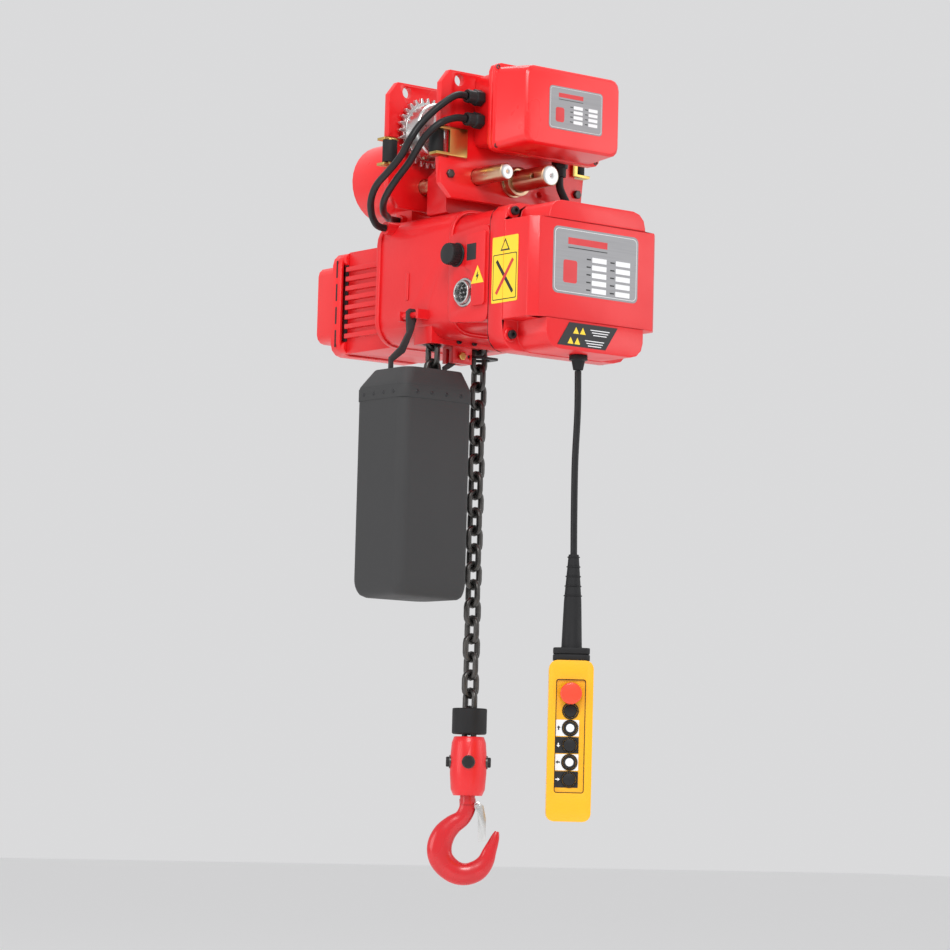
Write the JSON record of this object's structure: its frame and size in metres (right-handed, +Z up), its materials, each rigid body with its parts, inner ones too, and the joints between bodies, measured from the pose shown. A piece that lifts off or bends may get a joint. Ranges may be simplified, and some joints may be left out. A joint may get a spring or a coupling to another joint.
{
  "type": "chain hoist",
  "caption": "Electric chain hoist under a motorised beam trolley, with geared wheels, chain container, swivel hook with latch and a hanging push-button handset.",
  "frame": {"origin": "middle of the trolley, on the top face of the beam's bottom flange, where the wheels roll", "axes": "+X along the beam, -Y towards the control end of the hoist, +Z up"},
  "size_m": [0.3767, 0.6723, 1.3435],
  "materials": {
    "red_enamel": "gloss",
    "yellow_zinc": "satin",
    "bright_steel": "satin",
    "black_chain": "satin",
    "black_rubber": "matte",
    "black_plastic": "satin",
    "grey_container": "matte",
    "yellow_handset": "satin",
    "stop_red": "gloss",
    "white_button": "gloss"
  },
  "bodies": {
    "root": {"side_plate_front": "red_enamel", "side_plate_rear": "red_enamel", "suspender": "red_enamel", "main_housing": "red_enamel", "motor_housing": "red_enamel", "fan_cover": "red_enamel", "control_housing": "red_enamel", "control_cover": "red_enamel", "travel_box_base": "red_enamel", "travel_box_lid": "red_enamel", "travel_gearbox": "red_enamel", "travel_motor": "red_enamel", "chain_guide": "red_enamel", "main_shaft": "yellow_zinc", "tie_shaft": "yellow_zinc", "shaft_collar": "yellow_zinc", "guide_bracket_front_left": "yellow_zinc", "guide_bracket_front_right": "yellow_zinc", "guide_bracket_rear_left": "yellow_zinc", "guide_bracket_rear_right": "yellow_zinc", "power_socket": "bright_steel", "link_cable": "black_rubber", "travel_cable": "black_rubber", "supply_cable": "black_rubber", "handset_gland": "black_rubber", "gland_link": "black_plastic", "gland_travel": "black_plastic", "gland_supply": "black_plastic", "plug_cap": "black_plastic", "chain_container": "grey_container", "hanger_left": "grey_container", "hanger_right": "grey_container"},
    "wheel_front_left": {"wheel_front_left": "bright_steel"},
    "roller_front_left": {"guide_roller_front_left": "black_rubber"},
    "wheel_front_right": {"wheel_front_right": "bright_steel"},
    "roller_front_right": {"guide_roller_front_right": "black_rubber"},
    "wheel_rear_left": {"wheel_rear_left": "bright_steel"},
    "roller_rear_left": {"guide_roller_rear_left": "black_rubber"},
    "wheel_rear_right": {"wheel_rear_right": "bright_steel"},
    "roller_rear_right": {"guide_roller_rear_right": "black_rubber"},
    "drive_pinion": {"drive_pinion": "bright_steel"},
    "lifted": {"load_chain": "black_chain", "chain_bumper": "black_rubber", "hook_block": "red_enamel"},
    "slack": {"slack_chain": "black_chain"},
    "sheave": {"load_sheave": "bright_steel"},
    "idler": {"idler_gear": "bright_steel"},
    "rotor": {"motor_rotor": "bright_steel"},
    "hook": {"hook": "red_enamel"},
    "latch": {"hook_latch": "bright_steel"},
    "lever": {"limit_lever": "black_plastic"},
    "handset": {"handset_cord": "black_rubber", "handset_boot": "black_rubber", "handset_body": "yellow_handset"},
    "stop_button": {"stop_button": "stop_red"},
    "start_button": {"start_button": "black_plastic"},
    "up_button": {"up_button": "white_button"},
    "down_button": {"down_button": "black_plastic"},
    "left_button": {"left_button": "white_button"},
    "right_button": {"right_button": "black_plastic"}
  },
  "joints": [
    {"name": "wheel_front_left_spin", "type": "hinge", "parent": "root", "child": "wheel_front_left", "pos_m": [-0.08, 0, 0.047], "axis": [0, 1, 0], "continuous": true},
    {"name": "roller_front_left_spin", "type": "hinge", "parent": "root", "child": "roller_front_left", "pos_m": [-0.1505, -0.0635, 0.008], "axis": [0, 0, 1], "continuous": true},
    {"name": "wheel_front_right_spin", "type": "hinge", "parent": "root", "child": "wheel_front_right", "pos_m": [0.08, 0, 0.047], "axis": [0, 1, 0], "continuous": true},
    {"name": "roller_front_right_spin", "type": "hinge", "parent": "root", "child": "roller_front_right", "pos_m": [0.1505, -0.0635, 0.008], "axis": [0, 0, 1], "continuous": true},
    {"name": "wheel_rear_left_spin", "type": "hinge", "parent": "root", "child": "wheel_rear_left", "pos_m": [-0.08, 0, 0.047], "axis": [0, 1, 0], "continuous": true},
    {"name": "roller_rear_left_spin", "type": "hinge", "parent": "root", "child": "roller_rear_left", "pos_m": [-0.1505, 0.0635, 0.008], "axis": [0, 0, 1], "continuous": true},
    {"name": "wheel_rear_right_spin", "type": "hinge", "parent": "root", "child": "wheel_rear_right", "pos_m": [0.08, 0, 0.047], "axis": [0, 1, 0], "continuous": true},
    {"name": "roller_rear_right_spin", "type": "hinge", "parent": "root", "child": "roller_rear_right", "pos_m": [0.1505, 0.0635, 0.008], "axis": [0, 0, 1], "continuous": true},
    {"name": "pinion_spin", "type": "hinge", "parent": "root", "child": "drive_pinion", "pos_m": [0, 0, 0.02139], "axis": [0, 1, 0], "continuous": true},
    {"name": "hook_lift", "type": "slide", "parent": "root", "child": "lifted", "axis": [0, 0, 1], "range_m": [-0.075, 0.075]},
    {"name": "slack_run", "type": "slide", "parent": "root", "child": "slack", "axis": [0, 0, 1], "range_m": [-0.076, 0.076]},
    {"name": "sheave_turn", "type": "hinge", "parent": "root", "child": "sheave", "pos_m": [-0.0485, 0, -0.205], "axis": [0, 1, 0], "range_deg": [-95, 95]},
    {"name": "idler_turn", "type": "hinge", "parent": "root", "child": "idler", "pos_m": [-0.01291, 0, -0.1567], "axis": [0, 1, 0], "range_deg": [-225, 225]},
    {"name": "rotor_turn", "type": "hinge", "parent": "root", "child": "rotor", "pos_m": [0, 0, -0.205], "axis": [0, 1, 0], "range_deg": [-570, 570]},
    {"name": "hook_swivel", "type": "hinge", "parent": "lifted", "child": "hook", "pos_m": [0, 0, -1.06], "axis": [0, 0, 1], "continuous": true},
    {"name": "latch_pivot", "type": "hinge", "parent": "hook", "child": "latch", "pos_m": [0.013, -0.01016, -1.0745], "axis": [0.6157, 0.788, 0], "range_deg": [0, 25], "stiffness_Nm_per_rad": 0.05, "springref_deg": -17.19},
    {"name": "lever_tilt", "type": "hinge", "parent": "root", "child": "lever", "pos_m": [-0.032, 0, -0.332], "axis": [0, 1, 0], "range_deg": [-6, 0], "stiffness_Nm_per_rad": 0.1, "springref_deg": 17.19},
    {"name": "handset_swing", "type": "hinge", "parent": "root", "child": "handset", "pos_m": [0, -0.26, -0.3735], "axis": [0, 1, 0], "range_deg": [-12, 12]},
    {"name": "stop_press", "type": "slide", "parent": "handset", "child": "stop_button", "axis": [0.6157, 0.788, 0], "range_m": [0, 0.003], "stiffness_N_per_m": 300, "springref_m": -0.002},
    {"name": "start_press", "type": "slide", "parent": "handset", "child": "start_button", "axis": [0.6157, 0.788, 0], "range_m": [0, 0.003], "stiffness_N_per_m": 300, "springref_m": -0.002},
    {"name": "up_press", "type": "slide", "parent": "handset", "child": "up_button", "axis": [0.6157, 0.788, 0], "range_m": [0, 0.003], "stiffness_N_per_m": 300, "springref_m": -0.002},
    {"name": "down_press", "type": "slide", "parent": "handset", "child": "down_button", "axis": [0.6157, 0.788, 0], "range_m": [0, 0.003], "stiffness_N_per_m": 300, "springref_m": -0.002},
    {"name": "left_press", "type": "slide", "parent": "handset", "child": "left_button", "axis": [0.6157, 0.788, 0], "range_m": [0, 0.003], "stiffness_N_per_m": 300, "springref_m": -0.002},
    {"name": "right_press", "type": "slide", "parent": "handset", "child": "right_button", "axis": [0.6157, 0.788, 0], "range_m": [0, 0.003], "stiffness_N_per_m": 300, "springref_m": -0.002}
  ],
  "couplings": [
    {"joint": "pinion_spin", "follows": "wheel_rear_left_spin", "ratio": -2},
    {"joint": "wheel_rear_right_spin", "follows": "wheel_rear_left_spin", "ratio": 1},
    {"joint": "slack_run", "follows": "hook_lift", "ratio": -1},
    {"joint": "sheave_turn", "follows": "hook_lift", "rad_per_m": -20.619},
    {"joint": "idler_turn", "follows": "hook_lift", "rad_per_m": 50.074},
    {"joint": "rotor_turn", "follows": "hook_lift", "rad_per_m": -128.76}
  ]
}
